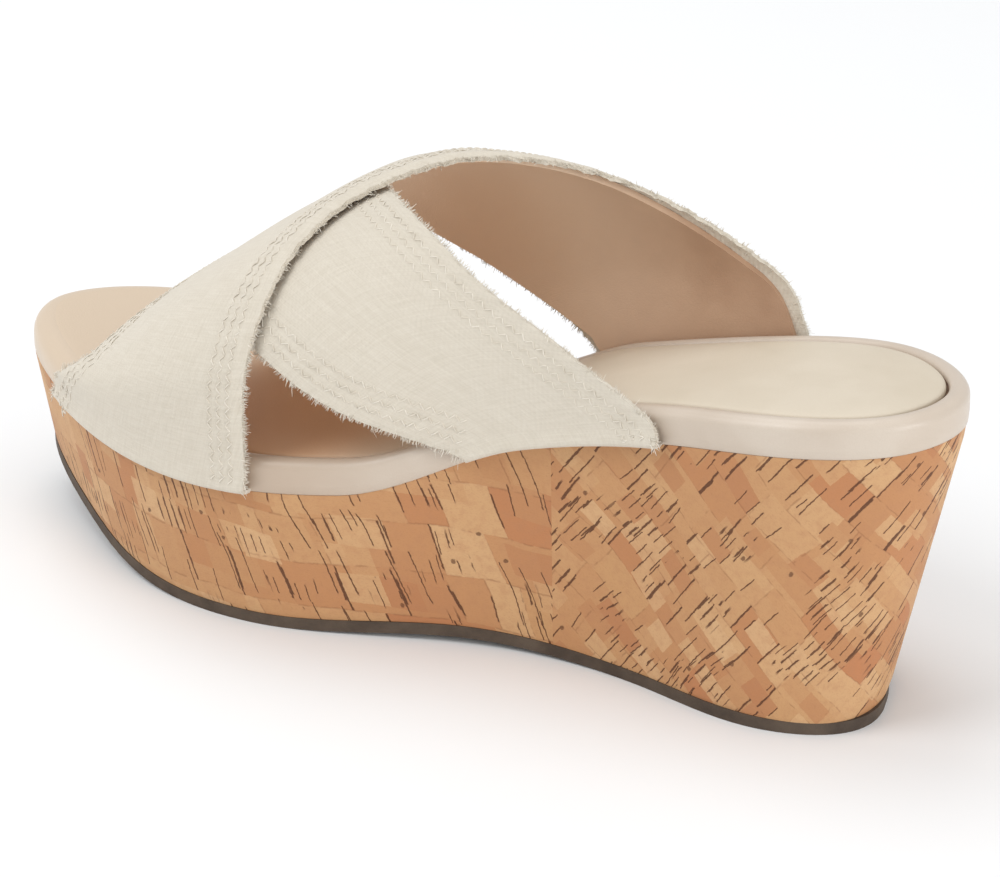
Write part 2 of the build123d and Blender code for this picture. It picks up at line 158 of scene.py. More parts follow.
# ---------------------------------------------------------------- strap surfaces
class Arch:
    """The arched surface a strap layer lies on, as distance from the axis over x and angle."""

    def __init__(self, grow, lift):
        self.xs = np.arange(-88, 110, 1.0)
        self.angles = np.arange(-16, 198, 1.0)
        theta = np.radians(np.arange(0, 181, 1.5))
        degrees = np.degrees(theta)
        ease = np.clip(np.minimum(degrees, 180 - degrees) / LIFT_EASE, 0, 1)
        away = grow + lift * ease * ease * (3 - 2 * ease)
        power = 2 / ARCH_POWER
        rows = []
        for x in self.xs:
            outer_y = np.interp(x, OUTER_SIDE[:, 0], OUTER_SIDE[:, 1])
            inner_y = np.interp(x, INNER_SIDE[:, 0], INNER_SIDE[:, 1])
            base = rim_height(x) + ARCH_BASE
            slope = (ridge_height(x + 1) - ridge_height(x - 1)) / 2
            thicken = math.sqrt(1 + slope * slope)
            side = np.where(degrees <= 90, outer_y - RIDGE_Y, RIDGE_Y - inner_y)
            sign = np.where(degrees <= 90, 1, -1)
            y = sign * (side + away) * np.abs(np.cos(theta)) ** power
            z = base + (ridge_height(x) - base + away * thicken) * np.clip(np.sin(theta), 0, 1) ** power
            y = np.concatenate([[y[0], y[0]], y, [y[-1], y[-1]]])
            z = np.concatenate([[5, (5 + z[0]) / 2], z, [(5 + z[-1]) / 2, 5]]) - AXIS_Z
            polar = np.degrees(np.arctan2(z, y))
            polar = np.where(polar < -100, polar + 360, polar)
            polar = np.maximum.accumulate(polar)
            rows.append(np.interp(self.angles, polar, np.hypot(y, z)))
        self.r = np.array(rows)

    def at(self, x, angle):
        i = np.clip((x - self.xs[0]), 0, len(self.xs) - 1.001)
        j = np.clip((angle - self.angles[0]), 0, len(self.angles) - 1.001)
        i0, j0 = i.astype(int), j.astype(int)
        fi, fj = i - i0, j - j0
        r = (self.r[i0, j0] * (1 - fi) * (1 - fj) + self.r[i0 + 1, j0] * fi * (1 - fj)
             + self.r[i0, j0 + 1] * (1 - fi) * fj + self.r[i0 + 1, j0 + 1] * fi * fj)
        a = np.radians(angle)
        return np.stack([x, RIDGE_Y + r * np.cos(a), AXIS_Z + r * np.sin(a)], -1)

    def frame_at(self, x, angle):
        """Point, derivatives along x and angle, and unit outward normal."""
        p = self.at(x, angle)
        px = (self.at(x + 1.5, angle) - self.at(x - 1.5, angle)) / 3
        pa = (self.at(x, angle + 1.5) - self.at(x, angle - 1.5)) / 3
        n = np.cross(px, pa)
        n /= np.linalg.norm(n, axis=-1)[..., None] + 1e-12
        radial = np.stack([0 * x, np.cos(np.radians(angle)), np.sin(np.radians(angle))], -1)
        n *= np.sign((n * radial).sum(-1))[..., None]
        return p, px, pa, n


class Strap:
    """One strap: two edges over the angle, on arches lifted off the rand by lift."""

    def __init__(self, heel_edge, toe_edge, lift):
        self.lift = lift
        self.angles = np.arange(-14, 194.5, 0.5)
        self.heel = np.array([smooth_between(heel_edge, a) for a in self.angles])
        self.toe = np.array([smooth_between(toe_edge, a) for a in self.angles])
        kernel = np.hanning(13)
        kernel /= kernel.sum()
        pad = len(kernel) // 2
        self.heel = np.convolve(np.pad(self.heel, pad, mode="edge"), kernel, "valid")
        self.toe = np.convolve(np.pad(self.toe, pad, mode="edge"), kernel, "valid")

    def edge_x(self, which, angle):
        return np.interp(angle, self.angles, self.heel if which == "heel" else self.toe)

    def inset(self, arch, distance):
        """Both edges moved in by a true distance across the strap."""
        out = []
        for edge, sign in ((self.heel, 1), (self.toe, -1)):
            p, px, _, n = arch.frame_at(edge, self.angles)
            t = np.gradient(p, axis=0)
            t /= np.linalg.norm(t, axis=1)[:, None] + 1e-9
            across = np.cross(n, t)
            rate = np.abs((px * across).sum(-1))
            out.append(edge + sign * distance / np.maximum(rate, 0.28))
        return out

    def grid(self, arch, setback, along, across, end_lift):
        """x, angle grids from the outer-side foot to the inner-side foot."""
        heel, toe = self.inset(arch, setback) if setback else (self.heel, self.toe)
        s = np.linspace(0, 1, across)
        xs, angles = np.zeros((along, across)), np.zeros((along, across))
        for j, share in enumerate(s):
            x = heel + share * (toe - heel)
            above = arch.at(x, self.angles)[:, 2] - rim_height(x) - end_lift
            inside = np.where(above > 0)[0]
            first, last = inside[0], inside[-1]
            lo = np.interp(0, [above[first - 1], above[first]],
                           [self.angles[first - 1], self.angles[first]]) if first else self.angles[0]
            if last + 1 < len(self.angles):
                hi = np.interp(0, [-above[last], -above[last + 1]],
                               [self.angles[last], self.angles[last + 1]])
            else:
                hi = self.angles[-1]
            p = arch.at(x, self.angles)
            run = np.concatenate([[0], np.cumsum(np.linalg.norm(np.diff(p, axis=0), axis=1))])
            run_lo, run_hi = np.interp([lo, hi], self.angles, run)
            angle = np.interp(np.linspace(run_lo, run_hi, along), run, self.angles)
            angles[:, j] = angle
            xs[:, j] = np.interp(angle, self.angles, x)
        return xs, angles


# ---------------------------------------------------------------- meshes
def new_mesh(name, verts_mm, faces, uv=None, sharp=40):
    mesh = bpy.data.meshes.new(name)
    mesh.from_pydata((np.asarray(verts_mm) * MM).tolist(), [], faces)
    mesh.validate()
    mesh.polygons.foreach_set("use_smooth", [True] * len(mesh.polygons))
    if sharp:
        mesh.set_sharp_from_angle(angle=math.radians(sharp))
    if uv is not None:
        layer = mesh.uv_layers.new(name="UVMap")
        index = np.zeros(len(mesh.loops), int)
        mesh.loops.foreach_get("vertex_index", index)
        layer.data.foreach_set("uv", np.asarray(uv, float)[index].ravel())
    obj = bpy.data.objects.new(name, mesh)
    bpy.context.scene.collection.objects.link(obj)
    return obj


def shell_from_grids(name, top, bottom, uv):
    """A closed thin solid between two grids of the same shape."""
    rows, cols = top.shape[:2]
    verts = np.concatenate([top.reshape(-1, 3), bottom.reshape(-1, 3)])
    uvs = np.concatenate([uv.reshape(-1, 2)] * 2)
    off = rows * cols
    faces = []
    for i in range(rows - 1):
        for j in range(cols - 1):
            a = i * cols + j
            faces.append((a, a + cols, a + cols + 1, a + 1))
            faces.append((off + a, off + a + 1, off + a + cols + 1, off + a + cols))
    border = ([j for j in range(cols)] + [i * cols + cols - 1 for i in range(1, rows)]
              + [(rows - 1) * cols + j for j in range(cols - 2, -1, -1)]
              + [i * cols for i in range(rows - 2, 0, -1)])
    for a, b in zip(border, border[1:] + border[:1]):
        faces.append((a, b, off + b, off + a))
    obj = new_mesh(name, verts, faces, uvs)
    bpy.context.view_layer.update()
    return obj


class Tubes:
    """Many short thin threads gathered in one mesh."""

    def __init__(self):
        self.verts, self.faces, self.uv = [], [], []

    def add(self, path, radii, sides=5):
        path = np.asarray(path, float)
        n = len(path)
        tangents = np.gradient(path, axis=0)
        tangents /= np.linalg.norm(tangents, axis=1)[:, None] + 1e-9
        ref = np.array([0.31, 0.52, 0.79])
        u = np.cross(tangents, ref)
        u /= np.linalg.norm(u, axis=1)[:, None] + 1e-9
        v = np.cross(tangents, u)
        start = len(self.verts)
        tone = random.random()
        for k in range(n):
            for q in range(sides):
                a = 2 * math.pi * q / sides
                self.verts.append(path[k] + radii[k] * (u[k] * math.cos(a) + v[k] * math.sin(a)))
                self.uv.append((tone, k / (n - 1)))
        for k in range(n - 1):
            for q in range(sides):
                a = start + k * sides + q
                b = start + k * sides + (q + 1) % sides
                self.faces.append((a, b, b + sides, a + sides))
        self.faces.append(tuple(start + q for q in reversed(range(sides))))
        self.faces.append(tuple(start + (n - 1) * sides + q for q in range(sides)))

    def build(self, name):
        return new_mesh(name, self.verts, self.faces, self.uv, sharp=None)


# ---------------------------------------------------------------- materials
class Net:
    """A small builder for one principled material."""

    def __init__(self, name):
        self.mat = bpy.data.materials.new(name)
        self.mat.use_nodes = True
        self.tree = self.mat.node_tree
        self.tree.nodes.clear()
        self.bsdf = self.tree.nodes.new("ShaderNodeBsdfPrincipled")
        out = self.tree.nodes.new("ShaderNodeOutputMaterial")
        self.tree.links.new(self.bsdf.outputs["BSDF"], out.inputs["Surface"])

    def put(self, node, name, value):
        socket = node.inputs[name]
        if isinstance(value, bpy.types.NodeSocket):
            self.tree.links.new(value, socket)
        else:
            socket.default_value = value

    def set(self, **values):
        for name, value in values.items():
            self.put(self.bsdf, name.replace("_", " "), value)

    def math(self, operation, a, b=0.0):
        node = self.tree.nodes.new("ShaderNodeMath")
        node.operation = operation
        self.put(node, 0, a)
        self.put(node, 1, b)
        return node.outputs[0]

    def mix(self, factor, a, b):
        node = self.tree.nodes.new("ShaderNodeMix")
        node.data_type = "RGBA"
        self.put(node, "Factor", factor)
        for name, value in ((6, a), (7, b)):
            if not isinstance(value, bpy.types.NodeSocket):
                value = (*value, 1)
            self.put(node, name, value)
        return node.outputs[2]

    def ramp(self, factor, stops, smooth=False):
        node = self.tree.nodes.new("ShaderNodeValToRGB")
        node.color_ramp.interpolation = "EASE" if smooth else "LINEAR"
        elements = node.color_ramp.elements
        while len(elements) < len(stops):
            elements.new(0.5)
        for element, (position, colour) in zip(elements, stops):
            element.position = position
            if not hasattr(colour, "__len__"):
                colour = (colour,) * 3
            element.color = (*colour, 1)
        self.put(node, "Fac", factor)
        return node.outputs["Color"]

    def uv(self):
        return self.tree.nodes.new("ShaderNodeTexCoord").outputs["UV"]

    def place(self):
        return self.tree.nodes.new("ShaderNodeTexCoord").outputs["Object"]

    def turned(self, vector, angle=0.0, scale=(1, 1, 1), shift=(0, 0, 0)):
        """vector turned about Z by angle degrees, then scaled along its new axes."""
        rotate = self.tree.nodes.new("ShaderNodeVectorRotate")
        rotate.rotation_type = "Z_AXIS"
        self.put(rotate, "Vector", vector)
        rotate.inputs["Angle"].default_value = math.radians(-angle)
        node = self.tree.nodes.new("ShaderNodeMapping")
        self.put(node, "Vector", rotate.outputs[0])
        node.inputs["Scale"].default_value = scale
        node.inputs["Location"].default_value = shift
        return node.outputs[0]

    def noise(self, vector, scale, detail=3.0, rough=0.55, colour=False):
        node = self.tree.nodes.new("ShaderNodeTexNoise")
        self.put(node, "Vector", vector)
        self.put(node, "Scale", scale)
        self.put(node, "Detail", detail)
        self.put(node, "Roughness", rough)
        return node.outputs["Color" if colour else "Fac"]

    def voronoi(self, vector, scale):
        node = self.tree.nodes.new("ShaderNodeTexVoronoi")
        node.voronoi_dimensions = "2D"
        self.put(node, "Vector", vector)
        self.put(node, "Scale", scale)
        return node.outputs["Distance"], node.outputs["Color"]

    def parts(self, colour):
        node = self.tree.nodes.new("ShaderNodeSeparateColor")
        self.put(node, 0, colour)
        return node.outputs

    def axes(self, vector):
        node = self.tree.nodes.new("ShaderNodeSeparateXYZ")
        self.put(node, 0, vector)
        return node.outputs

    def shifted(self, vector, colour, amount):
        """vector moved about by a noise colour."""
        centre = self.tree.nodes.new("ShaderNodeVectorMath")
        centre.operation = "SUBTRACT"
        self.put(centre, 0, colour)
        centre.inputs[1].default_value = (0.5, 0.5, 0.5)
        scale = self.tree.nodes.new("ShaderNodeVectorMath")
        scale.operation = "SCALE"
        self.put(scale, 0, centre.outputs[0])
        scale.inputs["Scale"].default_value = amount
        total = self.tree.nodes.new("ShaderNodeVectorMath")
        self.put(total, 0, vector)
        self.put(total, 1, scale.outputs[0])
        return total.outputs[0]

    def bump(self, height, distance, strength):
        node = self.tree.nodes.new("ShaderNodeBump")
        self.put(node, "Height", height)
        self.put(node, "Strength", strength)
        self.put(node, "Distance", distance)
        self.put(self.bsdf, "Normal", node.outputs[0])


def smoothstep(net, value, low, high):
    node = net.tree.nodes.new("ShaderNodeMapRange")
    node.interpolation_type = "SMOOTHSTEP"
    net.put(node, "Value", value)
    node.inputs["From Min"].default_value = low
    node.inputs["From Max"].default_value = high
    return node.outputs[0]


CANVAS_TONE = (0.665, 0.608, 0.512)
WEAVE_PITCH = 0.58    # mm between yarns
PIT_SPACING = 6.0     # mm between the cork's small round pits


def canvas_material():
    """Plain-weave cotton; UV is in mm, U across the strap and V along it."""
    net = Net("canvas")
    uv = net.uv()
    wander = net.noise(uv, 0.35, 2, colour=True)
    uv = net.shifted(uv, wander, 0.9)
    u, v, _ = net.axes(uv)
    warp = net.math("ABSOLUTE", net.math("SINE", net.math("MULTIPLY", u, math.pi / WEAVE_PITCH)))
    weft = net.math("ABSOLUTE", net.math("SINE", net.math("MULTIPLY", v, math.pi / WEAVE_PITCH)))
    over = net.math("ADD", net.math("FLOOR", net.math("DIVIDE", u, WEAVE_PITCH)),
                    net.math("FLOOR", net.math("DIVIDE", v, WEAVE_PITCH)))
    over = net.math("ABSOLUTE", net.math("MODULO", over, 2))
    weave = net.math("ADD", net.math("MULTIPLY", warp, over),
                     net.math("MULTIPLY", weft, net.math("SUBTRACT", 1, over)))
    slub_v = net.noise(net.turned(uv, 0, (1.7, 0.12, 1)), 1.0, 3)
    slub_u = net.noise(net.turned(uv, 0, (0.12, 1.7, 1)), 1.0, 3)
    slub = net.math("MULTIPLY", net.math("ADD", slub_v, slub_u), 0.5)
    cloud = net.noise(uv, 0.06, 3)
    tone = net.ramp(slub, [
        (0.36, (0.628, 0.571, 0.475)), (0.5, CANVAS_TONE), (0.64, (0.700, 0.646, 0.550)),
    ])
    tone = net.mix(net.math("MULTIPLY", net.math("SUBTRACT", 1, weave), 0.11), tone, (0.50, 0.43, 0.34))
    tone = net.mix(net.math("MULTIPLY", cloud, 0.16), tone, (0.75, 0.71, 0.63))
    net.set(Base_Color=tone, Roughness=0.93, Sheen_Weight=0.25, Sheen_Roughness=0.5)
    net.put(net.bsdf, "Specular IOR Level", 0.15)
    height = net.math("ADD", net.math("MULTIPLY", weave, 0.7), net.math("MULTIPLY", slub, 1.2))
    net.bump(height, 0.00014, 0.42)
    return net.mat


def thread_material(name, low, high):
    net = Net(name)
    tone = net.axes(net.uv())[0]
    net.set(Base_Color=net.ramp(tone, [(0, low), (1, high)]), Roughness=0.9, Sheen_Weight=0.3)
    net.put(net.bsdf, "Specular IOR Level", 0.15)
    net.bump(net.noise(net.place(), 5200, 2), 0.00004, 0.6)
    return net.mat


def leather_material(name, dark, base, light, rough, grain=1500, coat=0.0, depth=0.00005,
                     toe=None, shaded=None, painted_light_tone=None):
    """Fine-grained leather; its tone can turn at the toe, darken with painted shade under the straps,
    and turn paler with painted light deep in the arch.
    """
    net = Net(name)
    place = net.place()
    broad = net.noise(place, 38, 3)
    fine = net.noise(place, grain, 3)
    cells = net.tree.nodes.new("ShaderNodeTexVoronoi")
    cells.feature = "DISTANCE_TO_EDGE"
    net.put(cells, "Vector", net.shifted(place, net.noise(place, 700, 2, colour=True), 0.0012))
    net.put(cells, "Scale", grain * 0.75)
    crease = smoothstep(net, cells.outputs["Distance"], 0.0, 0.16)
    tone = net.ramp(broad, [(0.34, dark), (0.5, base), (0.66, light)], smooth=True)
    tone = net.mix(net.math("MULTIPLY", net.math("SUBTRACT", 1, crease), 0.16), tone, dark)
    along = net.axes(place)[0]
    # painted light: the tone turns paler from x -55 mm forwards, in place of light the lamps don't bring
    # into the arch
    if painted_light_tone:
        tone = net.mix(smoothstep(net, along, -0.055, 0.0), tone, painted_light_tone)
    # painted shade: between x -12 and 78 mm, where the straps arch over, the tone darkens towards a warm
    # brown
    if shaded:
        strap_shade_mask = net.math("MULTIPLY", smoothstep(net, along, -0.012, 0.018),
                           net.math("SUBTRACT", 1, smoothstep(net, along, 0.052, 0.078)))
        tone = net.mix(net.math("MULTIPLY", strap_shade_mask, 0.75), tone, shaded)
    if toe:
        tone = net.mix(smoothstep(net, along, 0.045, 0.085), tone, toe)
    net.set(Base_Color=tone, Coat_Weight=coat, Coat_Roughness=0.35)
    spread = net.math("ADD", net.math("MULTIPLY", fine, 0.16), rough - 0.08)
    net.set(Roughness=spread)
    net.put(net.bsdf, "Specular IOR Level", 0.42)
    height = net.math("ADD", net.math("MULTIPLY", crease, 0.55), net.math("MULTIPLY", fine, 0.6))
    net.bump(height, depth, 0.6)
    return net.mat


def cork_material(name, row_angle, lean, row, seed):
    """Cork sheet of sliced chips: rows at row_angle degrees, row mm high, with dark growth lines
    that cross the rows and lean by lean degrees. UV is in mm."""
    net = Net(name)
    uv = net.turned(net.uv(), 0, (1, 1, 1), (seed * 37.0, seed * 19.0, 0))
    sway = net.shifted(uv, net.noise(uv, 0.045, 1, colour=True), 3.6)
    rough_edge = net.noise(uv, 0.9, 3, colour=True)

    def chips(width, height, turn, shift, fray):
        """Random colour of each chip, distance to its ends in mm, and place across its row."""
        frayed = net.shifted(sway, rough_edge, fray)
        field = net.turned(frayed, row_angle + turn, (1, 1, 1), (shift, shift * 0.6, 0))
        a, b, _ = net.axes(field)
        a = net.math("ADD", a, net.math("MULTIPLY", b, math.tan(math.radians(lean))))
        row = net.math("FLOOR", net.math("DIVIDE", b, height))
        inside = net.math("FRACT", net.math("DIVIDE", b, height))
        place = net.math("ADD", net.math("DIVIDE", a, width), net.math("MULTIPLY", row, 217.37))
        found = []
        for feature in ("F1", "DISTANCE_TO_EDGE"):
            cell = net.tree.nodes.new("ShaderNodeTexVoronoi")
            cell.voronoi_dimensions = "1D"
            cell.feature = feature
            net.put(cell, "W", place)
            net.put(cell, "Scale", 1.0)
            found.append(cell)
        distance = net.math("MULTIPLY", found[1].outputs["Distance"], width)
        return net.parts(found[0].outputs["Color"]), distance, inside

    def lines(piece, thickness, share, reach):
        """Dark lines along the ends of some chips, stopping short of the row's edges."""
        (red, green, blue), distance, inside = piece
        wanted = net.math("LESS_THAN", red, share)
        centre = net.math("ADD", 0.3, net.math("MULTIPLY", green, 0.4))
        away = net.math("ABSOLUTE", net.math("SUBTRACT", inside, centre))
        limit = net.math("ADD", reach * 0.4, net.math("MULTIPLY", blue, reach * 0.8))
        along = smoothstep(net, net.math("SUBTRACT", limit, away), 0.0, 0.05)
        swell = net.noise(uv, 0.55, 2)
        width = net.math("MULTIPLY", thickness, net.math("ADD", 0.35, net.math("MULTIPLY", swell, 1.3)))
        across = smoothstep(net, net.math("SUBTRACT", width, distance), -0.06, 0.12)
        return net.math("MULTIPLY", net.math("MULTIPLY", across, along), wanted)

    big = chips(13.0, row, 0, 3.0, 0.5)
    mid = chips(8.5, row * 0.62, 3, 41.0, 0.5)
    fine = chips(5.0, row * 1.3, -2, 87.0, 0.6)
    close = chips(2.4, row * 0.75, 2, 133.0, 0.5)
    tone = net.ramp(big[0][0], [
        (0.0, (0.490, 0.205, 0.088)), (0.14, (0.500, 0.235, 0.102)), (0.30, (0.525, 0.268, 0.120)),
        (0.60, (0.560, 0.310, 0.145)), (0.86, (0.630, 0.385, 0.195)), (1.0, (0.550, 0.300, 0.135)),
    ])
    tone_mid = net.ramp(mid[0][1], [
        (0.0, (0.460, 0.195, 0.085)), (0.3, (0.525, 0.272, 0.122)), (0.75, (0.590, 0.345, 0.168)),
        (1.0, (0.650, 0.410, 0.215)),
    ])
    choose = net.math("MULTIPLY", net.math("GREATER_THAN", mid[0][2], 0.52), 0.8)
    tone = net.mix(choose, tone, tone_mid)
    mottle = net.noise(uv, 0.42, 4, 0.6)
    mottled = net.math("MULTIPLY", smoothstep(net, mottle, 0.42, 0.72), 0.32)
    tone = net.mix(mottled, tone, (0.455, 0.215, 0.105))
    grain = net.noise(net.turned(uv, row_angle, (0.8, 1.5, 1)), 1.9, 4, 0.65)
    grained = net.math("MULTIPLY", smoothstep(net, grain, 0.50, 0.72), 0.34)
    tone = net.mix(grained, tone, (0.40, 0.185, 0.085))
    border = net.math("SUBTRACT", 0.5, net.math("ABSOLUTE", net.math("SUBTRACT", big[2], 0.5)))
    faint_row = net.math("SUBTRACT", 1, smoothstep(net, border, 0.0, 0.035))
    faint_end = net.math("SUBTRACT", 1, smoothstep(net, big[1], 0.05, 0.32))
    broken = smoothstep(net, net.noise(uv, 0.30, 2), 0.42, 0.58)
    faint = net.math("MULTIPLY", net.math("MAXIMUM", faint_row, faint_end), broken)
    tone = net.mix(net.math("MULTIPLY", faint, 0.5), tone, (0.30, 0.125, 0.055))
    bunch = smoothstep(net, net.noise(uv, 0.055, 1), 0.53, 0.57)
    mark = lines(big, 0.42, 0.27, 0.62)
    mark = net.math("MAXIMUM", mark, lines(mid, 0.30, 0.16, 0.60))
    mark = net.math("MAXIMUM", mark, lines(fine, 0.32, 0.15, 0.52))
    mark = net.math("MAXIMUM", mark, net.math("MULTIPLY", lines(close, 0.28, 0.62, 0.50), bunch))
    pit_distance, pit_colour = net.voronoi(net.shifted(uv, rough_edge, 0.9), 1 / PIT_SPACING)
    pit = smoothstep(net, net.math("SUBTRACT", 0.115, pit_distance), 0.0, 0.05)
    pit = net.math("MULTIPLY", pit, net.math("LESS_THAN", net.parts(pit_colour)[0], 0.07))
    mark = net.math("MAXIMUM", mark, net.math("MULTIPLY", pit, 0.8))
    shade = net.mix(net.noise(uv, 0.7, 2), (0.065, 0.022, 0.009), (0.150, 0.055, 0.022))
    tone = net.mix(net.math("MULTIPLY", mark, 0.92), tone, shade)
    net.set(Base_Color=tone)
    net.set(Roughness=net.math("ADD", 0.48, net.math("MULTIPLY", grain, 0.25)))
    net.put(net.bsdf, "Specular IOR Level", 0.35)
    height = net.math("SUBTRACT", net.math("MULTIPLY", grain, 0.30), mark)
    height = net.math("ADD", height, net.math("MULTIPLY", big[0][0], 0.10))
    net.bump(height, 0.00020, 0.8)
    return net.mat


def rubber_material():
    net = Net("outsole rubber")
    place = net.place()
    fine = net.noise(place, 2600, 3)
    scuff = net.noise(place, 120, 4)
    tone = net.ramp(scuff, [(0.35, (0.060, 0.040, 0.027)), (0.65, (0.105, 0.075, 0.052))])
    net.set(Base_Color=tone, Roughness=net.math("ADD", 0.62, net.math("MULTIPLY", fine, 0.25)))
    net.bump(fine, 0.00008, 0.5)
    return net.mat


def plain_material(name, dark, light, rough, scale, depth):
    net = Net(name)
    grain = net.noise(net.place(), scale, 4)
    net.set(Base_Color=net.ramp(grain, [(0.35, dark), (0.65, light)]), Roughness=rough)
    net.bump(grain, depth, 0.6)
    return net.mat


def paint(obj, mat):
    obj.data.materials.clear()
    obj.data.materials.append(mat)


canvas = canvas_material()
fringe_thread = thread_material("canvas fringe", (0.66, 0.60, 0.50), (0.84, 0.79, 0.70))
sewing_thread = thread_material("sewing thread", (0.70, 0.64, 0.54), (0.80, 0.75, 0.66))
TOE_TONE = (0.650, 0.525, 0.395)
# painted shade for the footbed under the straps, browned as by light bounced off the lining
UNDER_STRAP_PAINTED_SHADE = (0.60, 0.32, 0.16)
# the lining's last tone is painted light, paler in the front of the arch
lining_leather = leather_material("lining leather", (0.425, 0.26, 0.165), (0.475, 0.30, 0.195),
                                  (0.52, 0.34, 0.225), 0.50, painted_light_tone=(0.90, 0.69, 0.51))
# the rand's shaded tone is painted shade where the straps stand over it
rand_leather = leather_material("rand leather", (0.555, 0.465, 0.375), (0.60, 0.51, 0.42),
                                (0.64, 0.555, 0.465), 0.36, 1900, 0.18, 0.00003, toe=TOE_TONE,
                                shaded=(0.50, 0.385, 0.29))
sock_leather = leather_material("sock leather", (0.635, 0.555, 0.437), (0.66, 0.58, 0.462),
                                (0.685, 0.605, 0.487), 0.55, 1400, 0.0, 0.00004, toe=TOE_TONE,
                                shaded=UNDER_STRAP_PAINTED_SHADE)
# painted shadow: a dark brown sheet for the channel between rand and sock
groove_painted_shadow = plain_material("groove shadow", (0.10, 0.055, 0.032), (0.17, 0.10, 0.06), 0.9, 900, 0.0001)
cork_front_look = cork_material("cork front", 2, -22, 12.0, 1.0)
cork_heel_look = cork_material("cork heel", 40, -2, 7.6, 2.3)

paint(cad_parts["outsole"], rubber_material())
# the footbed foam carries the painted channel shadow
paint(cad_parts["footbed_foam"], groove_painted_shadow)
# The hidden layers: name, dark and light tone, roughness, grain scale and depth.
for node, look in (
    ("wedge_core", ("core foam", (0.40, 0.29, 0.18), (0.50, 0.38, 0.25), 0.9, 800, 0.0001)),
    ("bottom_filler", ("filler felt", (0.10, 0.07, 0.05), (0.16, 0.12, 0.09), 0.95, 1200, 0.0002)),
    ("insole_board", ("board", (0.30, 0.21, 0.13), (0.38, 0.28, 0.18), 0.9, 900, 0.0001)),
    ("steel_shank", ("shank steel", (0.40, 0.40, 0.42), (0.55, 0.55, 0.57), 0.4, 900, 0.00005)),
    ("shank_rivets", ("rivet steel", (0.45, 0.45, 0.47), (0.6, 0.6, 0.62), 0.35, 900, 0.00005)),
):
    paint(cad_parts[node], plain_material(*look))


# ---------------------------------------------------------------- cork sheet
CORK_SKIN = 1.15
CORK_ROWS = 22
EDGE_SHARE, EDGE_ROUND = 0.03, 0.25    # the sheet's top and bottom edges round over slightly


def cork_sheet(name, keep, node, mat):
    """The wall of one cork piece, between the kept points of the rim and of the sole."""
    index = np.where(keep)[0]
    if keep[0] and keep[-1]:
        split = np.where(np.diff(index) > 1)[0][0] + 1
        index = np.concatenate([index[split:], index[:split]])
    run = np.concatenate([[0], np.cumsum(np.linalg.norm(np.diff(RIM[index], axis=0), axis=1))])
    heading = np.column_stack([outward(RIM)[index], np.zeros(len(index))])
    low = np.column_stack([SOLE[index], sole_height(SOLE[index][:, 0]) + OUTSOLE])
    high = np.column_stack([RIM[index], rim_height(RIM[index][:, 0])])
    out, back, uv = [], [], []
    for k in range(CORK_ROWS):
        share = k / (CORK_ROWS - 1)
        p = low + (high - low) * share
        round_over = max(0, 1 - min(share, 1 - share) / EDGE_SHARE) ** 2 * EDGE_ROUND
        out.append(p - heading * round_over)
        back.append(p - heading * CORK_SKIN)
        uv.append(np.column_stack([run, p[:, 2]]))
    obj = shell_from_grids(name, np.array(out), np.array(back), np.array(uv))
    paint(obj, mat)
    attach(obj, "root")
    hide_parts(node)


AHEAD = RIM[:, 0] > CORK_SEAM_X
BEHIND = ~AHEAD | ~np.roll(AHEAD, 1) | ~np.roll(AHEAD, -1)    # shares the seam's points
cork_sheet("cork_front_sheet", AHEAD, "cork_front", cork_front_look)
cork_sheet("cork_heel_sheet", BEHIND, "cork_heel", cork_heel_look)


# ---------------------------------------------------------------- footbed cover
LOOP_STEP = 3
LOOP = RIM[::LOOP_STEP]
LOOP_OUT = outward(RIM)[::LOOP_STEP]
MERGE = np.clip((LOOP[:, 0] - 52) / 34, 0, 1)
MERGE = MERGE * MERGE * (3 - 2 * MERGE)    # 0 where rand and sock part at a channel, 1 at the toe


def cap_faces(ring, first, upward):
    """Triangles that fill a ring of points, whose first vertex has the index first."""
    flat = [Vector((x, y)) for x, y, _ in ring]
    triangles = delaunay_2d_cdt(flat, [], [tuple(range(len(flat)))], 1, 1e-6)[2]
    faces = []
    for a, b, c in triangles:
        turn = (flat[b] - flat[a]).cross(flat[c] - flat[a])
        ordered = (a, b, c) if (turn > 0) == upward else (a, c, b)
        faces.append(tuple(first + i for i in ordered))
    return faces


def ring_piece(name, rings, hollow, mat, node):
    """A closed skin through rings that go round the footbed: a hollow band or a capped disc."""
    n = len(rings[0])
    count = len(rings)
    faces = []
    for k in range(count if hollow else count - 1):
        near, far = k * n, (k + 1) % count * n
        for i in range(n):
            j = (i + 1) % n
            faces.append((near + i, far + i, far + j, near + j))
    if not hollow:
        faces += cap_faces(rings[0], 0, False)
        faces += cap_faces(rings[-1], (count - 1) * n, True)
    obj = new_mesh(name, np.concatenate(rings), faces, sharp=None)
    paint(obj, mat)
    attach(obj, "root")
    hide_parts(node)
    return obj


def ring_at(inset, rise):
    """The footbed's outline moved in by inset, at rise above the cork's edge."""
    p = LOOP - LOOP_OUT * np.asarray(inset).reshape(-1, 1)
    return np.column_stack([p, rim_height(p[:, 0]) + rise])


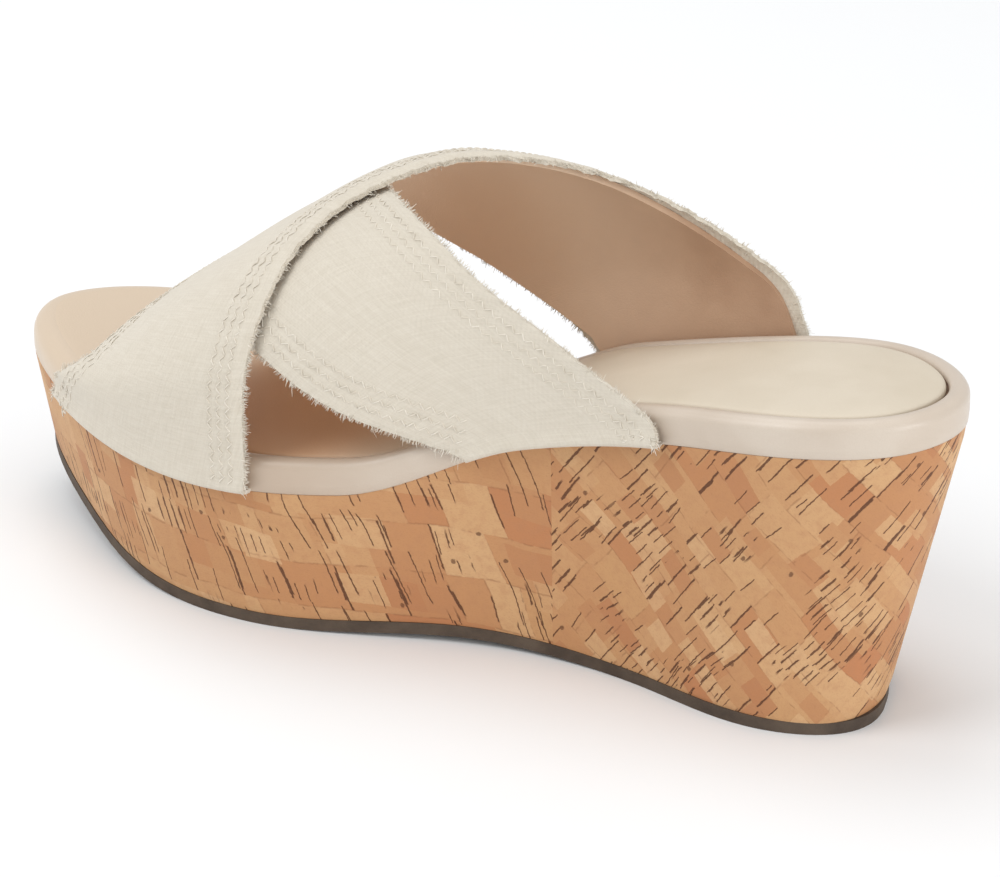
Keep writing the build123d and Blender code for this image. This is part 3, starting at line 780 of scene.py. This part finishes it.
def rand_rings():
    """The rounded band, turned down into the channel; at the toe it rounds over more softly."""
    rings = [ring_at(3.0, 0.06), ring_at(0.25, 0.05), ring_at(0.0, 0.35)]
    radius_in = 2.7 + 2.6 * MERGE
    radius_up = 2.6 + 2.2 * MERGE
    crown = RAND_HEIGHT + 0.25 * (1 - MERGE)
    rings.append(ring_at(-0.12 * (1 - MERGE), (RAND_HEIGHT - radius_up) * 0.5))
    for degrees in np.linspace(0, 90, 9):
        a = math.radians(degrees)
        rings.append(ring_at(radius_in * (1 - math.cos(a)), crown - radius_up * (1 - math.sin(a))))
    for inset, drop in ((3.6, 0.10), (4.15, 0.45), (4.4, 1.0), (4.45, 1.9)):
        rings.append(ring_at(inset + MERGE * (2.0 + 2.2 * drop), crown - drop * (1 - 0.97 * MERGE)))
    rings.append(ring_at(4.5 + 6.4 * MERGE, crown - 3.0))
    return rings


def sock_rings():
    """The padded top sheet, pulled down into the channel beside the rand."""
    spine_x = np.clip(LOOP[:, 0], -100, 96)
    spine_y = (np.interp(spine_x, OUTER_SIDE[:, 0], OUTER_SIDE[:, 1])
               + np.interp(spine_x, INNER_SIDE[:, 0], INNER_SIDE[:, 1])) / 2
    spine = np.column_stack([spine_x, spine_y])
    start = LOOP - LOOP_OUT * (RAND_WIDTH + 0.75 - 0.55 * MERGE)[:, None]
    profile = [(0.0, -1.5), (0.0, -0.9), (0.006, -0.42), (0.022, -0.12), (0.05, 0.06), (0.1, 0.22),
               (0.2, 0.42), (0.34, 0.55), (0.5, 0.6), (0.66, 0.6), (0.8, 0.6)]
    rings = []
    for share, rise in profile:
        p = start + (spine - start) * share
        at_toe = 0.3 * (min(share * 16, 1) - 1) + 0.5 * min(rise + 0.9, 0)
        rise = rise * (1 - MERGE) + MERGE * at_toe
        rings.append(np.column_stack([p, rim_height(p[:, 0]) + RAND_HEIGHT + 0.1 + rise]))
    low = np.column_stack([start, rim_height(start[:, 0]) + RAND_HEIGHT - 1.6])
    return [low] + rings


ring_piece("rand_band", rand_rings(), True, rand_leather, "footbed_rand")
sock = ring_piece("sock_top", sock_rings(), False, sock_leather, "sock_lining")


# ---------------------------------------------------------------- straps
# Distances outwards from the foot's side of the strap.
CANVAS_OUT, CANVAS_IN, LINING_OUT, LINING_IN = 2.8, 1.75, 1.7, 0.15
STITCH_ROWS = (3.3, 5.7, 8.1)    # distances in from the raw edge
STITCH_PITCH, STITCH_SWING = 1.45, 0.62
SETBACK = 1.9                    # the raw canvas edge stands past the lining by this


def spread(values):
    """Cumulative length along axis 0 of a grid of points."""
    step = np.linalg.norm(np.diff(values, axis=0), axis=-1)
    return np.concatenate([np.zeros((1,) + step.shape[1:]), np.cumsum(step, axis=0)])


def pucker(from_edge, along, phase, hang):
    """Small relief of cloth near a sewn raw edge, which hangs in by hang past the lining."""
    rows = sum(np.exp(-((from_edge - row) / 0.75) ** 2) for row in STITCH_ROWS)
    band = np.clip((11 - from_edge) / 3, 0, 1)
    ripple = np.sin(along * 1.9 + phase) * 0.5 + np.sin(along * 0.83 + phase * 2.1 + from_edge * 0.4)
    frill = np.clip(1 - from_edge / 2.2, 0, 1)
    wave = np.sin(along * 1.15 + phase * 1.7) + 0.7 * np.sin(along * 2.9 + phase)
    fall = np.clip(1 - from_edge / 3.0, 0, 1) ** 1.3
    return -0.07 * rows + 0.07 * band * ripple + 0.16 * frill * wave - hang * fall


def tuck_under(points, sides):
    """Extra rows that carry a strap end round the rand's foot and in under it."""
    rows = []
    for inward, drop in ((0.12, -0.5), (0.5, -0.92), (1.2, -1.12), (2.6, -1.16)):
        p = points.copy()
        p[:, 1] -= sides * inward
        p[:, 2] += drop
        rows.append(p)
    return rows


def strap_grid(strap, depth, setback, along, across, end_lift, relief=False, phase=0.0):
    """Points and outward normals of a strap's surface at a depth, foot to foot and edge to edge."""
    arch = Arch(depth, strap.lift)
    x, angle = strap.grid(arch, setback, along, across, end_lift)
    p, _, _, normal = arch.frame_at(x, angle)
    if relief:
        run = spread(p)
        width = spread(np.swapaxes(p, 0, 1)).T
        edge = np.minimum(width, width[:, -1:] - width)
        side_phase = phase + (np.arange(across)[None, :] > across / 2) * 1.3
        p = p + normal * pucker(edge, run, side_phase, droop(strap, angle))[..., None]
    return p, normal


def strap_cloth(strap, name, nodes, phase):
    """The canvas with its ends turned under; also its length, greatest width and area in mm."""
    along, across = 230, 104
    top, normal = strap_grid(strap, CANVAS_OUT, 0, along, across, 1.2, True, phase)
    bottom = top - normal * (CANVAS_OUT - CANVAS_IN)
    first = tuck_under(top[0], 1)
    last = tuck_under(top[-1], -1)
    first_in = tuck_under(bottom[0], 1)
    last_in = tuck_under(bottom[-1], -1)
    for rows in (first_in, last_in):
        for p, rise in zip(rows, (0.25, 0.55, 0.9, 1.02)):
            p[:, 2] += rise
    top = np.concatenate([np.array(first[::-1]), top, np.array(last)])
    bottom = np.concatenate([np.array(first_in[::-1]), bottom, np.array(last_in)])
    run = spread(top)
    width = spread(np.swapaxes(top, 0, 1)).T
    mean_run = np.broadcast_to(run.mean(axis=1, keepdims=True), run.shape)
    uv = np.stack([width - width[:, -1:] / 2, mean_run], -1)
    obj = shell_from_grids(name, top, bottom, uv)
    paint(obj, canvas)
    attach(obj, "root")
    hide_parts(*nodes)
    cells = np.cross(top[1:, :-1] - top[:-1, :-1], top[:-1, 1:] - top[:-1, :-1])
    area = np.linalg.norm(cells, axis=-1).sum()
    return obj, run.mean(axis=1)[-1], width[:, -1].max(), area


def strap_lining(strap, name, node):
    """The leather against the foot, its thickness that of interlining and lining together."""
    top, normal = strap_grid(strap, LINING_OUT, SETBACK, 150, 60, 1.3)
    bottom = top - normal * (LINING_OUT - LINING_IN)
    run = spread(top)
    width = spread(np.swapaxes(top, 0, 1)).T
    obj = shell_from_grids(name, top, bottom, np.stack([width, run], -1))
    paint(obj, lining_leather)
    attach(obj, "root")
    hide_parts(node)


class EdgeWalk:
    """Walks a strap's edge in true distances, giving points at any distance inwards."""

    def __init__(self, strap, which, depth):
        self.arch = Arch(depth, strap.lift)
        angles = strap.angles
        x = strap.edge_x(which, angles)
        p, px, pa, n = self.arch.frame_at(x, angles)
        above = p[:, 2] - rim_height(x)
        keep = above > 0.8
        self.angles, self.x = angles[keep], x[keep]
        p, px, pa, n = p[keep], px[keep], pa[keep], n[keep]
        t = np.gradient(p, axis=0)
        t /= np.linalg.norm(t, axis=1)[:, None]
        inward = np.cross(n, t)
        middle = strap.edge_x("heel" if which == "toe" else "toe", self.angles)
        toward = px * np.sign(middle - self.x)[:, None]
        inward *= np.sign((inward * toward).sum(-1))[:, None]
        g = np.stack([px, pa], -1)
        solve = np.linalg.pinv(g) @ inward[..., None]
        self.dx, self.da = solve[:, 0, 0], solve[:, 1, 0]
        self.n, self.t, self.inward = n, t, inward
        self.run = np.concatenate([[0], np.cumsum(np.linalg.norm(np.diff(p, axis=0), axis=1))])
        self.length = self.run[-1]

    def _at(self, values, run):
        return np.interp(run, self.run, values)

    def point(self, run, inset, lift=0.0):
        x = self._at(self.x, run) + self._at(self.dx, run) * inset
        a = self._at(self.angles, run) + self._at(self.da, run) * inset
        p, _, _, n = self.arch.frame_at(np.array([x]), np.array([a]))
        return p[0] + n[0] * lift

    def angle(self, run):
        return self._at(self.angles, run)

    def axes(self, run):
        out = []
        for v in (self.n, self.t, self.inward):
            out.append(np.array([self._at(v[:, k], run) for k in range(3)]))
        return out


def droop(strap, angle):
    """How far a raw edge hangs inwards past the lining: the upper strap closes on the lower."""
    return np.interp(angle, [4, 20, 85, 112], [0.3, 1.3, 1.3, 0.3]) if strap.lift else 0.3 + 0 * angle


def edge_fringe(strap, which, tubes, phase):
    """Ravelled yarn ends along one raw edge, longer in tufts."""
    walk = EdgeWalk(strap, which, (CANVAS_OUT + CANVAS_IN) / 2)
    run = 0.2
    while run < walk.length - 0.2:
        n, t, inward = walk.axes(run)
        tuft = 0.55 + 0.45 * math.sin(run * 1.35 + phase) * math.sin(run * 0.52 + phase * 0.6)
        length = (0.45 + 1.05 * tuft) * random.uniform(0.6, 1.2)
        if random.random() < 0.012:
            length += random.uniform(0.6, 1.8)
        lean = random.gauss(0, 0.24) + 0.25 * math.sin(run * 0.9 + phase)
        rise = random.gauss(0.05, 0.2)
        way = -inward + t * lean + n * rise
        way /= np.linalg.norm(way)
        curl = t * random.gauss(0, 0.5) + n * random.gauss(-0.1, 0.35)
        hang = float(droop(strap, walk.angle(run)))
        root = walk.point(run, 0.9, random.uniform(-0.4, 0.5) - hang)
        path = []
        for k in range(4):
            s = k / 3
            path.append(root + way * (0.9 + length) * s + curl * length * 0.35 * s * s)
        thick = random.uniform(0.07, 0.115)
        tubes.add(path, [thick, thick, thick * 0.85, thick * 0.4], 4)
        run += random.uniform(0.08, 0.2)


def foot_tails(strap, which, tubes):
    """A few longer ravelled threads at both feet of an edge, hanging over the cork's rim."""
    walk = EdgeWalk(strap, which, (CANVAS_OUT + CANVAS_IN) / 2)
    for base in (0.0, walk.length):
        for _ in range(11):
            run = abs(base - random.uniform(0, 2.4))
            n, _, inward = walk.axes(run)
            root = walk.point(run, random.uniform(-0.2, 1.6), random.uniform(-0.2, 0.45))
            length = random.uniform(0.9, 2.8)
            way = -inward * random.uniform(0.2, 1.0) + n * random.uniform(0.0, 0.35)
            way[2] -= random.uniform(0.3, 1.0)
            way /= np.linalg.norm(way)
            bend = np.array([random.gauss(0, 0.5), 0, -0.6]) + n * 0.1
            path = [root + way * length * s + bend * length * 0.3 * s * s for s in (0, 0.35, 0.7, 1)]
            thick = random.uniform(0.07, 0.12)
            tubes.add(path, [thick, thick, thick * 0.8, thick * 0.4], 4)


def edge_stitches(strap, which, tubes):
    """Rows of sewn zigzag along one edge, a short thread for each stitch."""
    walk = EdgeWalk(strap, which, CANVAS_OUT)
    for row in STITCH_ROWS:
        count = int((walk.length - 2) / STITCH_PITCH)
        for k in range(count):
            run = 1 + k * STITCH_PITCH
            swing = STITCH_SWING if k % 2 else -STITCH_SWING
            a = walk.point(run, row - swing, -0.16)
            b = walk.point(run + STITCH_PITCH, row + swing, -0.16)
            crest = walk.point(run + STITCH_PITCH / 2, row, 0.10)
            shy = walk.point(run + STITCH_PITCH * 0.22, row - swing * 0.6, 0.04)
            late = walk.point(run + STITCH_PITCH * 0.78, row + swing * 0.6, 0.04)
            tubes.add([a, shy, crest, late, b], [0.09, 0.13, 0.14, 0.13, 0.09], 5)


def build_strap(strap, prefix, phase):
    """One strap's cloth, lining, fringe and stitches."""
    nodes = (prefix + "_canvas", prefix + "_interlining")
    cloth, length, width, area = strap_cloth(strap, prefix + "_cloth", nodes, phase)
    strap_lining(strap, prefix + "_lining_leather", prefix + "_lining")
    fringe = Tubes()
    stitches = Tubes()
    for which in ("heel", "toe"):
        edge_fringe(strap, which, fringe, phase + (0.0 if which == "heel" else 2.0))
        foot_tails(strap, which, fringe)
        edge_stitches(strap, which, stitches)
    fringe_piece = fringe.build(prefix + "_fringe")
    stitch_piece = stitches.build(prefix + "_stitches")
    for piece, mat in ((fringe_piece, fringe_thread), (stitch_piece, sewing_thread)):
        paint(piece, mat)
        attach(piece, "root")


build_strap(Strap(UPPER_HEEL_EDGE, UPPER_TOE_EDGE, OVERLAP_LIFT), "upper", 0.4)
build_strap(Strap(LOWER_HEEL_EDGE, LOWER_TOE_EDGE, 0.0), "lower", 1.9)

# ---------------------------------------------------------------- floor, light and camera
floor_mesh = bpy.data.meshes.new("floor")
floor_mesh.from_pydata([(-6, -6, 0), (6, -6, 0), (6, 6, 0), (-6, 6, 0)], [], [(0, 1, 2, 3)])
floor = bpy.data.objects.new("floor", floor_mesh)
bpy.context.scene.collection.objects.link(floor)
floor_look = Net("floor")
floor_look.set(Base_Color=(0.90, 0.91, 0.92, 1), Roughness=0.9)
paint(floor, floor_look.mat)

world = bpy.data.worlds.new("studio")
world.use_nodes = True
world.node_tree.nodes["Background"].inputs["Color"].default_value = (1.0, 1.0, 1.0, 1)
world.node_tree.nodes["Background"].inputs["Strength"].default_value = 0.70
bpy.context.scene.world = world


def area_light(name, place, target, size, watts):
    data = bpy.data.lights.new(name, "AREA")
    data.shape = "DISK"
    data.size = size
    data.energy = watts
    light = bpy.data.objects.new(name, data)
    light.location = place
    light.rotation_mode = "QUATERNION"
    light.rotation_quaternion = (Vector(target) - Vector(place)).to_track_quat("-Z", "Y")
    bpy.context.scene.collection.objects.link(light)


area_light("key", (0.9, 1.2, 1.7), (0, 0, 0.04), 1.2, 15)
area_light("top", (0.7, -0.3, 1.9), (0, 0, 0.04), 1.3, 10)
area_light("low", (-1.5, 0.25, 0.22), (0, 0, 0.09), 0.8, 9)

AZIMUTH, ELEVATION, ROLL = 211.97, 22.56, 0.742    # degrees
CAMERA_PLACE = (-0.3366, 0.5169, 0.2943)
az, el, roll = math.radians(AZIMUTH), math.radians(ELEVATION), math.radians(ROLL)
back = Vector((math.sin(az) * math.cos(el), -math.cos(az) * math.cos(el), math.sin(el)))
level = Vector((math.cos(az), math.sin(az), 0))
above = back.cross(level)
right = level * math.cos(roll) + above * math.sin(roll)
up = above * math.cos(roll) - level * math.sin(roll)
camera_data = bpy.data.cameras.new("camera")
camera_data.sensor_width = 36
camera_data.lens = 103.69
camera_data.clip_start = 0.01
camera = bpy.data.objects.new("camera", camera_data)
bpy.context.scene.collection.objects.link(camera)
turn = Matrix((right, up, back)).transposed().to_4x4()
camera.matrix_world = Matrix.Translation(CAMERA_PLACE) @ turn
bpy.context.scene.camera = camera
bpy.context.scene.view_settings.view_transform = "Standard"
bpy.context.scene.view_settings.look = "None"
